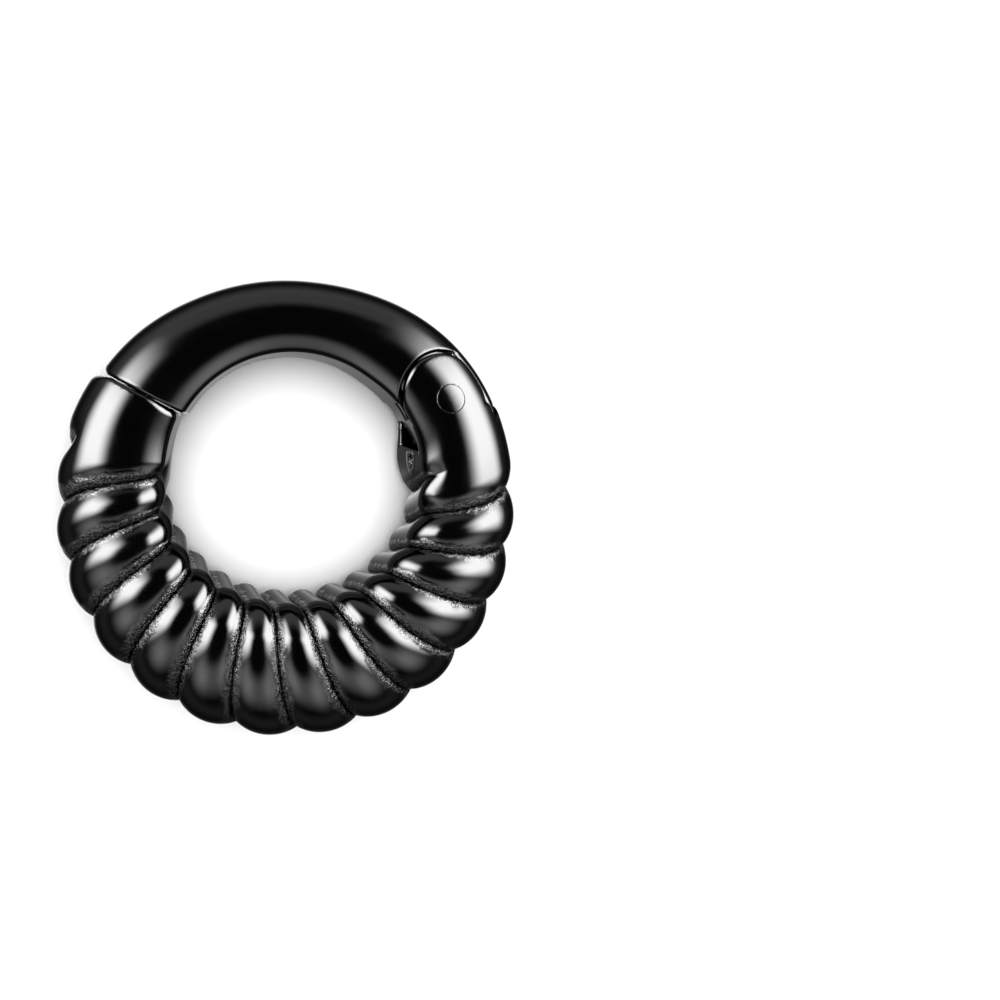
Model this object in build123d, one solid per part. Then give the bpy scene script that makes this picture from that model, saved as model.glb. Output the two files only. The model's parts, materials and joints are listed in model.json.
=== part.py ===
"""Hinged ear weight: a heavy tapered ring with a ridged lower arc and a gate that swings open.

Millimetres. The ring is worked out upright in its own plane first: +X to the right, +Y to the top,
where the gate is, and +Z out of its front face. Its outer circle and its hole are not concentric,
so the bar is slim at the gate and heavy at the bottom. At the end every piece is laid on its back,
tipped by the small angle at which the tapered ring rests by itself, with the floor at z = 0.
"""

import os
from collections import namedtuple
from math import acos, atan, cos, degrees, floor, hypot, pi, radians, sin, sqrt

from build123d import *

# Ring: outer circle, hole, how far the hole sits above the middle of the outer circle, and beside it
BODY_DIAMETER = 30.0
BODY_HOLE_DIAMETER = 16.5
HOLE_OFFSET = 2.25
HOLE_SHIFT = 0.16
# Half the front-to-back width of the bar at the top, at the sides and at the bottom of the ring
TOP_HALF_WIDTH = 3.35
SIDE_HALF_WIDTH = 4.05
BOTTOM_HALF_WIDTH = 4.85
# The gate is slimmer than the body outside and stands further into the hole
GATE_STEP = 0.1
GATE_HOLE_DIAMETER = 16.0
# Where the bar swells: middle and half span in degrees of ring, extra outside and extra in the hole
Swell = namedtuple("Swell", "middle span outside inside")
BODY_SWELLS = (
    Swell(middle=40, span=46, outside=0.45, inside=0.0),
    Swell(middle=13, span=24, outside=0.0, inside=0.4),
    Swell(middle=152, span=28, outside=0.22, inside=0.0),
    Swell(middle=166, span=36, outside=0.0, inside=0.2),
)
GATE_SWELLS = (
    Swell(middle=40, span=46, outside=0.45, inside=0.0),
    Swell(middle=37, span=22, outside=0.0, inside=-0.22),
    Swell(middle=134, span=22, outside=0.08, inside=0.0),
)
# Section: cosine of the angle where the round front meets the flat inner wall, and that edge's bevel
WALL_EDGE_COSINE = 0.6
EDGE_BEVEL = 0.25

# Ridges: two grooves wound round the bar like a two-start thread, 15 degrees of ring apart
RIDGE_PITCH = 15.0
FIRST_GROOVE_ANGLE = 167.9
RIDGE_DEPTH = 0.62
RIDGE_ROUNDNESS = 0.5
RIDGE_FADE_IN = (162.3, 165.3)
RIDGE_FADE_OUT = (364.8, 368.3)
FACETS_PER_RIDGE = 8
# The faceted bar is made longer than the body at both ends and then cut to length
FACETED_START = 140.0
FACETED_END = 409.0

# Hinge: the cheeks' round end is drawn about a point beside the pin, and the tongue fills the bar
# out to its rim, as far as the notch that lies level with the pin
HINGE_RADIUS = 11.73
HINGE_ANGLE = 31.6
CHEEK_RADIUS = 2.92
CHEEK_SHIFT_X = -0.2
CHEEK_SHIFT_Y = 0.1
TONGUE_RADIUS = 3.2
TONGUE_HALF_WIDTH = 2.0
POCKET_RADIUS = 3.8
NOTCH_SLOPE = -4.0
PIN_DIAMETER = 1.8
PIN_CLEARANCE = 0.03
SLOT_SIDE_GAP = 0.05
PARTING_GAP = 0.12

# Butt joint at the left: a point on it and its slope, and the latch tongue hidden in it
SPLIT_X = -9.51
SPLIT_Y = 6.5
SPLIT_SLOPE = -27.5
LATCH_THICKNESS = 1.5
LATCH_HALF_WIDTH = 1.5
LATCH_REACH = 1.9
LATCH_ROOT = 0.9
LATCH_CLEARANCE = 0.12

# Rows of the faceted section: angle round it, 0 outside, 90 front, 180 the middle of the inner wall
FRONT_ROWS = (0, 13, 26, 39, 52, 65, 78, 90, 101, 111, 119, 125)
WALL_ROWS = (130, 154, 180, 206, 230)
SECTION_ROWS = FRONT_ROWS + WALL_ROWS + tuple(360 - row for row in reversed(FRONT_ROWS[1:]))
# Arcs of the smooth section, and ring angles of the smooth bar's sections
SECTION_ARCS = ((-122, -60), (-60, 0), (0, 60), (60, 122))
SMOOTH_ANGLES = tuple(range(8, 161, 8))

WALL_EDGE_ANGLE = degrees(acos(-WALL_EDGE_COSINE))
BODY_OUTER = BODY_DIAMETER / 2
BODY_HOLE = BODY_HOLE_DIAMETER / 2
GATE_OUTER = BODY_OUTER - GATE_STEP
GATE_HOLE = GATE_HOLE_DIAMETER / 2
HINGE = Vector(HINGE_RADIUS * cos(radians(HINGE_ANGLE)), HINGE_RADIUS * sin(radians(HINGE_ANGLE)))
CHEEK = HINGE + Vector(CHEEK_SHIFT_X, CHEEK_SHIFT_Y)
SPLIT = Vector(SPLIT_X, SPLIT_Y)
SPLIT_DIRECTION = Vector(cos(radians(SPLIT_SLOPE)), sin(radians(SPLIT_SLOPE)))
SPLIT_NORMAL = Vector(-SPLIT_DIRECTION.Y, SPLIT_DIRECTION.X)
FULL_DEPTH = 4 * BOTTOM_HALF_WIDTH


def circle_reach(ring_angle, centre_x, centre_y, radius):
    """Distance from the ring's centre to a circle round another point, at one angle."""
    turn = radians(ring_angle)
    ahead = centre_x * cos(turn) + centre_y * sin(turn)
    beside = centre_x * sin(turn) - centre_y * cos(turn)
    return ahead + sqrt(radius**2 - beside**2)


def swelling(ring_angle, swell):
    """Share of a swell at one angle round the ring: 1 in its middle, 0 past its ends."""
    away = abs((ring_angle - swell.middle + 180) % 360 - 180)
    return cos(pi / 2 * min(away / swell.span, 1)) ** 2


def bar_at(ring_angle, outer, hole, swells, slimmer=0.0):
    """Middle radius, half thickness and half width of the bar at one angle round the ring."""
    rise = sin(radians(ring_angle))
    far = circle_reach(ring_angle, 0, -HOLE_OFFSET / 2, outer)
    near = circle_reach(ring_angle, HOLE_SHIFT, HOLE_OFFSET / 2, hole)
    far += sum(swell.outside * swelling(ring_angle, swell) for swell in swells)
    near -= sum(swell.inside * swelling(ring_angle, swell) for swell in swells)
    taper = (TOP_HALF_WIDTH - BOTTOM_HALF_WIDTH) / 2
    crown = (TOP_HALF_WIDTH + BOTTOM_HALF_WIDTH) / 2 - SIDE_HALF_WIDTH
    half_width = SIDE_HALF_WIDTH + taper * rise + crown * rise**2 - slimmer
    return (far + near) / 2, (far - near) / 2, half_width


def section_point(section_angle, half_thickness, half_width):
    """Offset outwards and frontwards from the middle of the bar's D-shaped section."""
    if WALL_EDGE_ANGLE < section_angle < 360 - WALL_EDGE_ANGLE:
        share = (180 - section_angle) / (180 - WALL_EDGE_ANGLE)
        return -half_thickness, half_width * sqrt(1 - WALL_EDGE_COSINE**2) * share
    reach = 2 * half_thickness / (1 + WALL_EDGE_COSINE)
    turn = radians(section_angle)
    return half_thickness - reach + reach * cos(turn), half_width * sin(turn)


def on_ring(ring_angle, radius, front):
    turn = radians(ring_angle)
    return Vector(radius * cos(turn), radius * sin(turn), front)


def smooth_step(start, end, value):
    share = min(max((value - start) / (end - start), 0), 1)
    return share * share * (3 - 2 * share)


def groove_depth(ring_angle, section_angle):
    """Depth below the smooth bar: round ridges that meet in sharp valleys, fading at both ends."""
    turns = (ring_angle - FIRST_GROOVE_ANGLE) / RIDGE_PITCH + section_angle / 180
    across = 2 * abs(turns % 1 - 0.5)
    fall = (1 - sqrt(1 - RIDGE_ROUNDNESS * across**2)) / (1 - sqrt(1 - RIDGE_ROUNDNESS))
    shown = smooth_step(*RIDGE_FADE_IN, ring_angle) - smooth_step(*RIDGE_FADE_OUT, ring_angle)
    return RIDGE_DEPTH * fall * shown


def ridged_point(ring_angle, section_angle):
    middle, half_thickness, half_width = bar_at(ring_angle, BODY_OUTER, BODY_HOLE, BODY_SWELLS)
    out, front = section_point(section_angle, half_thickness, half_width)
    keep = 1 - groove_depth(ring_angle, section_angle) / hypot(out, front)
    return on_ring(ring_angle, middle + out * keep, front * keep)


def ridged_bar():
    """Closed faceted bar whose mesh lines follow the grooves.

    A column of the mesh winds back by two ridges in one turn round the bar, so the last row of a
    column meets the first row of the column one turn before it.
    """
    step = RIDGE_PITCH / FACETS_PER_RIDGE
    turn = 2 * FACETS_PER_RIDGE
    first = floor((FACETED_START - FIRST_GROOVE_ANGLE) / step)
    last = floor((FACETED_END - FIRST_GROOVE_ANGLE) / step) + turn + 1
    rows = len(SECTION_ROWS)

    def ring_angle_of(column, row):
        return FIRST_GROOVE_ANGLE + column * step - RIDGE_PITCH * SECTION_ROWS[row] / 180

    points = {
        (column, row): ridged_point(ring_angle_of(column, row), SECTION_ROWS[row])
        for column in range(first, last + 1)
        for row in range(rows)
    }

    def at(column, row):
        return points[(column, row) if row < rows else (column - turn, 0)]

    triangles = []
    for column in range(first, last):
        for row in range(rows):
            if row == rows - 1 and column < first + turn:
                continue
            here, ahead = at(column, row), at(column + 1, row)
            here_up, ahead_up = at(column, row + 1), at(column + 1, row + 1)
            triangles += [(here, ahead, here_up), (ahead, ahead_up, here_up)]

    start_loop = [at(first, row) for row in range(rows)]
    start_loop += [at(first + column, rows - 1) for column in range(1, turn + 1)]
    end_loop = [at(last, row) for row in range(rows)]
    end_loop += [at(last - turn + column, 0) for column in range(turn)]
    for loop, column in ((start_loop, first), (end_loop, last)):
        ring_angle = FIRST_GROOVE_ANGLE + column * step - RIDGE_PITCH
        middle = bar_at(ring_angle, BODY_OUTER, BODY_HOLE, BODY_SWELLS)[0]
        tip = on_ring(ring_angle, middle, 0)
        triangles += [(tip, loop[k - 1], loop[k]) for k in range(len(loop))]
    faces = [Face(Wire.make_polygon(triangle)) for triangle in triangles]
    return Solid(Shell(faces))


def smooth_section(ring_angle, outer, hole, swells, slimmer):
    """Outline of the smooth bar: arcs round the outside, a flat inner wall and two edge bevels."""
    middle, half_thickness, half_width = bar_at(ring_angle, outer, hole, swells, slimmer)

    def place(out, front):
        return on_ring(ring_angle, middle + out, front)

    def round_point(section_angle):
        return place(*section_point(section_angle, half_thickness, half_width))

    edges = [
        Edge.make_three_point_arc(round_point(a), round_point((a + b) / 2), round_point(b))
        for a, b in SECTION_ARCS
    ]
    wall = half_width * sqrt(1 - WALL_EDGE_COSINE**2) - EDGE_BEVEL
    wall_front, wall_back = place(-half_thickness, wall), place(-half_thickness, -wall)
    edges += [
        Edge.make_line(round_point(SECTION_ARCS[-1][1]), wall_front),
        Edge.make_line(wall_front, wall_back),
        Edge.make_line(wall_back, round_point(SECTION_ARCS[0][0])),
    ]
    return Wire(edges)


def smooth_bar(outer, hole, swells, slimmer):
    """The bar without ridges, over the gate and the hinge."""
    sections = [smooth_section(angle, outer, hole, swells, slimmer) for angle in SMOOTH_ANGLES]
    return Solid.make_loft(sections)


def post(centre, radius, half_width):
    """Round post along the ring's axis."""
    plane = Plane(origin=(centre.X, centre.Y, -half_width))
    return Solid.make_cylinder(radius, 2 * half_width, plane)


def gate_side(split_gap, notch_slope, half_width):
    """Everything on the gate's side of the ring, from the butt joint to the pin and the notch."""
    split = SPLIT + SPLIT_NORMAL * split_gap
    notch_way = Vector(cos(radians(notch_slope)), sin(radians(notch_slope)))
    pin = HINGE + Vector(0, split_gap)
    far = 1.5 * BODY_OUTER
    outline = (
        split - SPLIT_DIRECTION * BODY_OUTER / 2,
        split + SPLIT_DIRECTION * BODY_HOLE / 2,
        Vector(0, 0),
        pin,
        pin + notch_way * far,
        Vector(far, far),
        Vector(-far, far),
    )
    face = Face(Wire.make_polygon([Vector(p.X, p.Y, -half_width) for p in outline]))
    return Solid.extrude(face, Vector(0, 0, 2 * half_width))


def latch_sector(clearance, root):
    """Plain tongue across the butt joint, curved about the hinge so that it swings out freely."""
    reach = SPLIT - HINGE
    radius = reach.length
    inner = radius - LATCH_THICKNESS / 2 - clearance
    outer = radius + LATCH_THICKNESS / 2 + clearance
    half_width = LATCH_HALF_WIDTH + clearance
    ring = post(HINGE, outer, half_width) - post(HINGE, inner, half_width)
    along = reach.normalized()
    down = Vector(-along.Y, along.X)
    top = root
    bottom = LATCH_REACH + clearance
    corners = (
        SPLIT - along * LATCH_THICKNESS - down * top,
        SPLIT + along * LATCH_THICKNESS - down * top,
        SPLIT + along * LATCH_THICKNESS + down * bottom,
        SPLIT - along * LATCH_THICKNESS + down * bottom,
    )
    face = Face(Wire.make_polygon([Vector(p.X, p.Y, -half_width) for p in corners]))
    block = Solid.extrude(face, Vector(0, 0, 2 * half_width))
    return ring & block


def make_body():
    """Ridged arc with its shoulders, cut for the gate, the tongue's pocket, the pin and the latch."""
    pocket_half_width = TONGUE_HALF_WIDTH + SLOT_SIDE_GAP
    away = gate_side(0, 0, FULL_DEPTH) - post(CHEEK, CHEEK_RADIUS, FULL_DEPTH)
    pocket = post(HINGE, POCKET_RADIUS, pocket_half_width)
    pocket += gate_side(0, NOTCH_SLOPE, pocket_half_width)
    pin_hole = post(HINGE, PIN_DIAMETER / 2, FULL_DEPTH)
    return ridged_bar() - (away + pocket + pin_hole + latch_sector(LATCH_CLEARANCE, LATCH_ROOT))


def make_gate():
    """Smooth bar with a straight end at the left and a tongue round the pin at the right."""
    hollow = post(CHEEK, CHEEK_RADIUS + PARTING_GAP, FULL_DEPTH)
    room = gate_side(PARTING_GAP, 0, FULL_DEPTH) - hollow
    lip = post(HINGE, POCKET_RADIUS + PARTING_GAP, TONGUE_HALF_WIDTH)
    lip &= gate_side(PARTING_GAP, 0, TONGUE_HALF_WIDTH)
    room += post(HINGE, TONGUE_RADIUS, TONGUE_HALF_WIDTH) + lip
    arch = smooth_bar(GATE_OUTER, GATE_HOLE, GATE_SWELLS, GATE_STEP) & room
    pin_bore = post(HINGE, PIN_DIAMETER / 2 + PIN_CLEARANCE, FULL_DEPTH)
    return arch - pin_bore - latch_sector(0, LATCH_ROOT)


def make_pin():
    """Pin with its ends flush with the rounded cheeks."""
    return post(HINGE, PIN_DIAMETER / 2, FULL_DEPTH) & smooth_bar(BODY_OUTER, BODY_HOLE, BODY_SWELLS, 0)


def crown(ring_angle, outer, hole, swells, slimmer):
    """Where the bar is widest from front to back: distance from the ring's centre, and half width."""
    middle, half_thickness, half_width = bar_at(ring_angle, outer, hole, swells, slimmer)
    return middle + section_point(90, half_thickness, half_width)[0], half_width


def rest_tilt():
    """Angle at which the tapered ring lies on the back of its heavy end and of its gate."""
    low_radius, low_depth = crown(270, BODY_OUTER, BODY_HOLE, BODY_SWELLS, 0)
    high_radius, high_depth = crown(90, GATE_OUTER, GATE_HOLE, GATE_SWELLS, GATE_STEP)
    return degrees(atan((low_depth - high_depth) / (low_radius + high_radius)))


def corners_of(pieces):
    boxes = [piece.bounding_box() for piece in pieces]
    low = Vector(*(min(tuple(box.min)[axis] for box in boxes) for axis in range(3)))
    high = Vector(*(max(tuple(box.max)[axis] for box in boxes) for axis in range(3)))
    return low, high


def main():
    pieces = {
        "weight_body": make_body(),
        "gate": make_gate(),
        "hinge_pin": make_pin(),
        "latch_tongue": latch_sector(0, LATCH_ROOT),
    }
    lay_back = Rot(X=-rest_tilt())
    laid = {name: lay_back * piece for name, piece in pieces.items()}
    low, high = corners_of(laid.values())
    middle = (low + high) / 2
    to_floor = Pos(-middle.X, -middle.Y, -low.Z)
    os.makedirs("parts", exist_ok=True)
    for name, piece in laid.items():
        export_step(to_floor * piece, os.path.join("parts", name + ".step"), write_pcurves=False)

    hinge = to_floor * (lay_back * Location(HINGE))
    way = (lay_back * Location()).orientation
    print("rest tilt", rest_tilt(), "size", high - low)
    print("hinge at", hinge.position, "turned by", way)
    print("ring centre at", (to_floor * lay_back).position)
    print("volumes", {name: round(piece.volume, 1) for name, piece in pieces.items()})


main()
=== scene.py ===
"""Looks of the hinged ear weight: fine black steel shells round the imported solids, and the studio.

Shapes are worked out in the ring's own plane, upright and in millimetres: +X to the right, +Y to
the gate, +Z out of the front face. TO_PART then lays them into the frame, in metres.
"""
import json
from collections import namedtuple
from math import acos, asin, atan2, cos, degrees, floor, hypot, radians, sin, sqrt

import bpy
import numpy as np
from mathutils import Matrix, Vector
from mathutils.kdtree import KDTree


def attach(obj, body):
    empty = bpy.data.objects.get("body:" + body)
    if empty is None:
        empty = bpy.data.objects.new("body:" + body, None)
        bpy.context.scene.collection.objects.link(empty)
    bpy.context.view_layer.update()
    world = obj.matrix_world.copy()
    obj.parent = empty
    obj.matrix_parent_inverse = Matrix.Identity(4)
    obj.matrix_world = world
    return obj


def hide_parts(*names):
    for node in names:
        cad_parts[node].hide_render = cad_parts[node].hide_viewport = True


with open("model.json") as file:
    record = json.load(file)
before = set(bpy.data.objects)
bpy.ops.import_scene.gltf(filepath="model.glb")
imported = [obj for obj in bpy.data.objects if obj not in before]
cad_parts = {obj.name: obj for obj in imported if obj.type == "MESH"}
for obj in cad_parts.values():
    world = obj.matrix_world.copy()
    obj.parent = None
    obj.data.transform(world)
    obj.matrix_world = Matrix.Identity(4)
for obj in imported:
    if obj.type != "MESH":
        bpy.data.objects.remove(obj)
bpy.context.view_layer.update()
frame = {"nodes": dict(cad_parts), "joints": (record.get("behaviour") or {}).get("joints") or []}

# Ring: outer circle, hole and the places of their centres
BODY_OUTER = 15.0
BODY_HOLE = 8.25
GATE_OUTER = 14.9
GATE_HOLE = 7.9
GATE_STEP = 0.1
HOLE_OFFSET = 2.25
HOLE_SHIFT = 0.16
TOP_HALF_WIDTH = 3.35
SIDE_HALF_WIDTH = 4.05
BOTTOM_HALF_WIDTH = 4.85
Swell = namedtuple("Swell", "middle span outside inside")
BODY_SWELLS = (
    Swell(middle=40, span=46, outside=0.45, inside=0.0),
    Swell(middle=13, span=24, outside=0.0, inside=0.4),
    Swell(middle=152, span=28, outside=0.22, inside=0.0),
    Swell(middle=166, span=36, outside=0.0, inside=0.2),
    Swell(middle=275, span=95, outside=0.0, inside=0.24),
    Swell(middle=312, span=48, outside=0.12, inside=0.0),
)
GATE_SWELLS = (
    Swell(middle=40, span=46, outside=0.45, inside=0.0),
    Swell(middle=37, span=22, outside=0.0, inside=-0.22),
    Swell(middle=134, span=22, outside=0.08, inside=0.0),
)

# Section: where the round front meets the flat inner wall, and how far that edge's rounding reaches
# on the smooth parts and on the ridges
WALL_EDGE_COSINE = 0.6
WALL_EDGE_ANGLE = degrees(acos(-WALL_EDGE_COSINE))
EDGE_TURN = 8.0
GATE_EDGE_TURN = 5.5
RIDGED_EDGE_TURN = 21.0
RIDGED_FROM = (166.0, 176.0)
RIDGED_TO = (352.0, 364.0)
# Under the cheek the inner wall leans: its front edge stands back and its back edge stands out
LEAN_MIDDLE = 17.0
LEAN_SPAN = 19.0
LEAN = 0.42
LEAN_FROM_SECTION_ANGLE = 85
# Rows of points on half a section: round front, rounded edge and flat wall
FRONT_ROWS = 37
EDGE_ROWS = 10
WALL_ROWS = 18

# Ridges
RIDGE_PITCH = 15.0
FIRST_GROOVE_ANGLE = 167.9
RIDGE_DEPTH = 0.62
RIDGE_ROUNDNESS = 0.5
# Grooves that run out: section angles where each has its full depth and where it is gone
Fade = namedtuple("Fade", "groove full gone")
FADES = (
    Fade(groove=0, full=20, gone=46),
    Fade(groove=1, full=135, gone=205),
    Fade(groove=14, full=139, gone=99),
    Fade(groove=15, full=335, gone=300),
)
LAST_WHOLE_GROOVE = 13
COLUMNS_PER_RIDGE = 28
# The rough band lies mostly above each groove's bottom, by this share of a ridge, and spreads
# further up from the first groove
ROUGH_SHIFT = 0.06
FIRST_GROOVE_SPREAD = 0.75
# Both bars are made longer than the piece at each end, and cut
BODY_START = 138.0
BODY_END = 411.0
GATE_START = 8.0
GATE_END = 162.0
GATE_COLUMN_STEP = 0.5

# Hinge, cheeks, tongue and the butt joint with its latch
HINGE = Vector((11.73 * cos(radians(31.6)), 11.73 * sin(radians(31.6)), 0))
CHEEK = HINGE + Vector((-0.2, 0.1, 0))
CHEEK_RADIUS = 2.92
PARTING_GAP = 0.12
PARTING_OVERLAP = 0.01
SPLIT_GAP = 0.06
TONGUE_STEP = 0.5
TONGUE_STEP_FROM = 26.5
TONGUE_STEP_TO = -15.0
TONGUE_RADIUS_OUTSIDE = 3.3
TONGUE_RADIUS_INSIDE = 3.66
TONGUE_HALF_WIDTH = 1.9
POCKET_RADIUS_OUTSIDE = 3.62
POCKET_RADIUS_INSIDE = 3.8
POCKET_HALF_WIDTH = 2.05
PIN_RADIUS = 0.9
BORE_CLEARANCE = 0.03
# Radii of the rings of points on the pin's ends, short of its rounded rim, and points on each ring
PIN_RINGS = (0.3, 0.55, 0.75)
PIN_POINTS = 72
SPLIT = Vector((-9.51, 6.5, 0))
SPLIT_SLOPE = -27.5
SPLIT_ALONG = Vector((cos(radians(SPLIT_SLOPE)), sin(radians(SPLIT_SLOPE)), 0))
SPLIT_NORMAL = Vector((-SPLIT_ALONG.y, SPLIT_ALONG.x, 0))
LATCH_HALF_THICKNESS = 0.75
LATCH_HALF_WIDTH = 1.5
LATCH_REACH = 1.9
LATCH_ROOT = 0.9
LATCH_CLEARANCE = 0.12
FAR = 25.0
# Steps along the cutters' arcs
CHEEK_ARC_STEPS = 96
POCKET_ARC_STEPS = 120
STEP_ARC_STEPS = 40
BORE_ARC_STEPS = 71

# Rounded edges: radii, and the places across one where the mesh gets a line. At the butt joint the
# radius grows towards the rim and the hole, between the two distances from the ring's centre
CHEEK_EDGE = 0.38
BUTT_EDGE = 0.25
BUTT_RIM_GROWTH = 0.55
BUTT_RIM = (13.2, 14.6)
BUTT_HOLE_GROWTH = 0.25
BUTT_HOLE = (10.8, 9.2)
GATE_END_EDGE = 0.27
GATE_END_RIM_GROWTH = 0.3
GATE_END_RIM = (13.4, 14.7)
GATE_ARC_EDGE = 0.14
PIN_EDGE = 0.035
SLOT_EDGE = 0.22
TONGUE_EDGE = 0.12
# Across the tongue's side, the gate's edge along the cheeks goes from nothing to its full depth
TONGUE_EDGE_FADE = (-0.3, 0.2)
ROUND_LINES = (-0.03, 0.076, 0.293, 0.617, 1.0)
SNAP = 0.022
SHARP_ANGLE = 38
# A vertex takes the traits of the formula's nearest point, if that is no further away than this
TRAIT_DISTANCE = 0.02

# Cast dimple in the inner wall under the cheek: it is rough all round, up to ROUGH_END radii away,
# and has painted shade inside, a darker colour standing in for the shade in its hollow
DIMPLE = Vector((8.2, 2.1, 0.35))
DIMPLE_RADIUS = 0.38
DIMPLE_DEPTH = 0.45
DIMPLE_ROUGH_END = 3.3
DIMPLE_ROUGH_FADE = 2.2
DIMPLE_SHADE_DARKNESS = 1.6


def ring_to_part():
    """Where the ring lies in the frame, worked out from the hinge that the record states."""
    joint = frame["joints"][0]
    axis = Vector(joint["axis"])
    lay_back = Matrix.Rotation(-atan2(-axis.y, -axis.z), 4, "X")
    centre = Vector(joint["pos_m"]) - lay_back @ (HINGE / 1000)
    return Matrix.Translation(centre) @ lay_back @ Matrix.Scale(0.001, 4)


TO_PART = ring_to_part()


def smooth_step(start, end, value):
    share = np.clip((value - start) / (end - start), 0, 1)
    return share * share * (3 - 2 * share)


def circle_reach(ring_angle, centre_x, centre_y, radius):
    """Distance from the ring's centre to a circle round another point, at each angle."""
    turn = np.radians(ring_angle)
    ahead = centre_x * np.cos(turn) + centre_y * np.sin(turn)
    beside = centre_x * np.sin(turn) - centre_y * np.cos(turn)
    return ahead + np.sqrt(radius**2 - beside**2)


def swelling(ring_angle, swell):
    away = np.abs((ring_angle - swell.middle + 180) % 360 - 180)
    return np.cos(np.pi / 2 * np.minimum(away / swell.span, 1)) ** 2


def bar_at(ring_angle, outer, hole, swells, slimmer):
    """Middle radius, half thickness and half width of the bar at each angle round the ring."""
    rise = np.sin(np.radians(ring_angle))
    far = circle_reach(ring_angle, 0, -HOLE_OFFSET / 2, outer)
    near = circle_reach(ring_angle, HOLE_SHIFT, HOLE_OFFSET / 2, hole)
    for swell in swells:
        far = far + swell.outside * swelling(ring_angle, swell)
        near = near - swell.inside * swelling(ring_angle, swell)
    taper = (TOP_HALF_WIDTH - BOTTOM_HALF_WIDTH) / 2
    crown = (TOP_HALF_WIDTH + BOTTOM_HALF_WIDTH) / 2 - SIDE_HALF_WIDTH
    half_width = SIDE_HALF_WIDTH + taper * rise + crown * rise**2 - slimmer
    return (far + near) / 2, (far - near) / 2, half_width


def body_at(ring_angle):
    return bar_at(ring_angle, BODY_OUTER, BODY_HOLE, BODY_SWELLS, 0.0)


def gate_at(ring_angle):
    return bar_at(ring_angle, GATE_OUTER, GATE_HOLE, GATE_SWELLS, GATE_STEP)


def sharp_section(section_angle, half_thickness, half_width):
    """Offset outwards and frontwards on the front half of the D-shaped section, edge left sharp."""
    share = (180 - section_angle) / (180 - WALL_EDGE_ANGLE)
    reach = 2 * half_thickness / (1 + WALL_EDGE_COSINE)
    turn = np.radians(section_angle)
    on_wall = section_angle > WALL_EDGE_ANGLE
    out = np.where(on_wall, -half_thickness, half_thickness - reach + reach * np.cos(turn))
    edge = half_width * sqrt(1 - WALL_EDGE_COSINE**2)
    front = np.where(on_wall, edge * share, half_width * np.sin(turn))
    return out, front


def edge_turn(ring_angle):
    """Half the section angle that the rounding of the inner wall's edges takes."""
    ridged = smooth_step(*RIDGED_FROM, ring_angle) - smooth_step(*RIDGED_TO, ring_angle)
    return EDGE_TURN + (RIDGED_EDGE_TURN - EDGE_TURN) * ridged


def section_point(section_angle, half_thickness, half_width, turn):
    """The same section with both edges of the inner wall rounded, 0 outside and 90 in front."""
    turned = np.mod(section_angle, 360)
    folded = np.where(turned > 180, 360 - turned, turned)
    start = WALL_EDGE_ANGLE - turn
    end = WALL_EDGE_ANGLE + turn
    share = np.clip((folded - start) / (end - start), 0, 1)
    weights = ((1 - share) ** 2, 2 * share * (1 - share), share**2)
    knots = [
        sharp_section(angle, half_thickness, half_width)
        for angle in (start, np.full_like(folded, WALL_EDGE_ANGLE), end)
    ]
    out, front = sharp_section(folded, half_thickness, half_width)
    rounded = (folded > start) & (folded < end)
    out = np.where(rounded, sum(w * knot[0] for w, knot in zip(weights, knots)), out)
    front = np.where(rounded, sum(w * knot[1] for w, knot in zip(weights, knots)), front)
    return out, np.where(turned > 180, -front, front)


def lean_at(ring_angle, section_angle):
    """How far the inner wall stands back in front, or out behind, under the cheek."""
    turned = np.mod(section_angle, 360)
    folded = np.where(turned > 180, 360 - turned, turned)
    across = np.minimum((180 - folded) / (180 - WALL_EDGE_ANGLE), 1)
    near_wall = smooth_step(LEAN_FROM_SECTION_ANGLE, WALL_EDGE_ANGLE, folded)
    place_round = swelling(ring_angle, Swell(LEAN_MIDDLE, LEAN_SPAN, 0, 0))
    return LEAN * place_round * near_wall * np.where(turned > 180, -across, across)


def groove_fall(ring_angle, section_angle):
    """How far down a groove a point is, from 0 on a ridge's top to 1 in the groove's bottom."""
    turns = (ring_angle - FIRST_GROOVE_ANGLE) / RIDGE_PITCH + section_angle / 180
    groove = np.round(turns)
    across = 1 - 2 * np.abs(turns - groove)
    fall = (1 - np.sqrt(1 - RIDGE_ROUNDNESS * across**2)) / (1 - sqrt(1 - RIDGE_ROUNDNESS))
    shown = ((groove > 1) & (groove <= LAST_WHOLE_GROOVE)).astype(float)
    for fade in FADES:
        kept = smooth_step(fade.gone, fade.full, section_angle)
        shown = np.where(groove == fade.groove, kept, shown)
    return fall * shown, groove


def place(ring_angle, radius, front):
    turn = np.radians(ring_angle)
    return np.stack([radius * np.cos(turn), radius * np.sin(turn), front], axis=-1)


def section_rows():
    """Angles round the section, closer together where the edges of the inner wall are rounded."""
    start = WALL_EDGE_ANGLE - EDGE_TURN
    end = WALL_EDGE_ANGLE + EDGE_TURN
    half = np.concatenate([
        np.linspace(0, start, FRONT_ROWS, endpoint=False),
        np.linspace(start, end, EDGE_ROWS, endpoint=False),
        np.linspace(end, 180, WALL_ROWS, endpoint=False),
    ])
    return np.concatenate([half, [180.0], 360 - half[:0:-1]])


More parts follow.
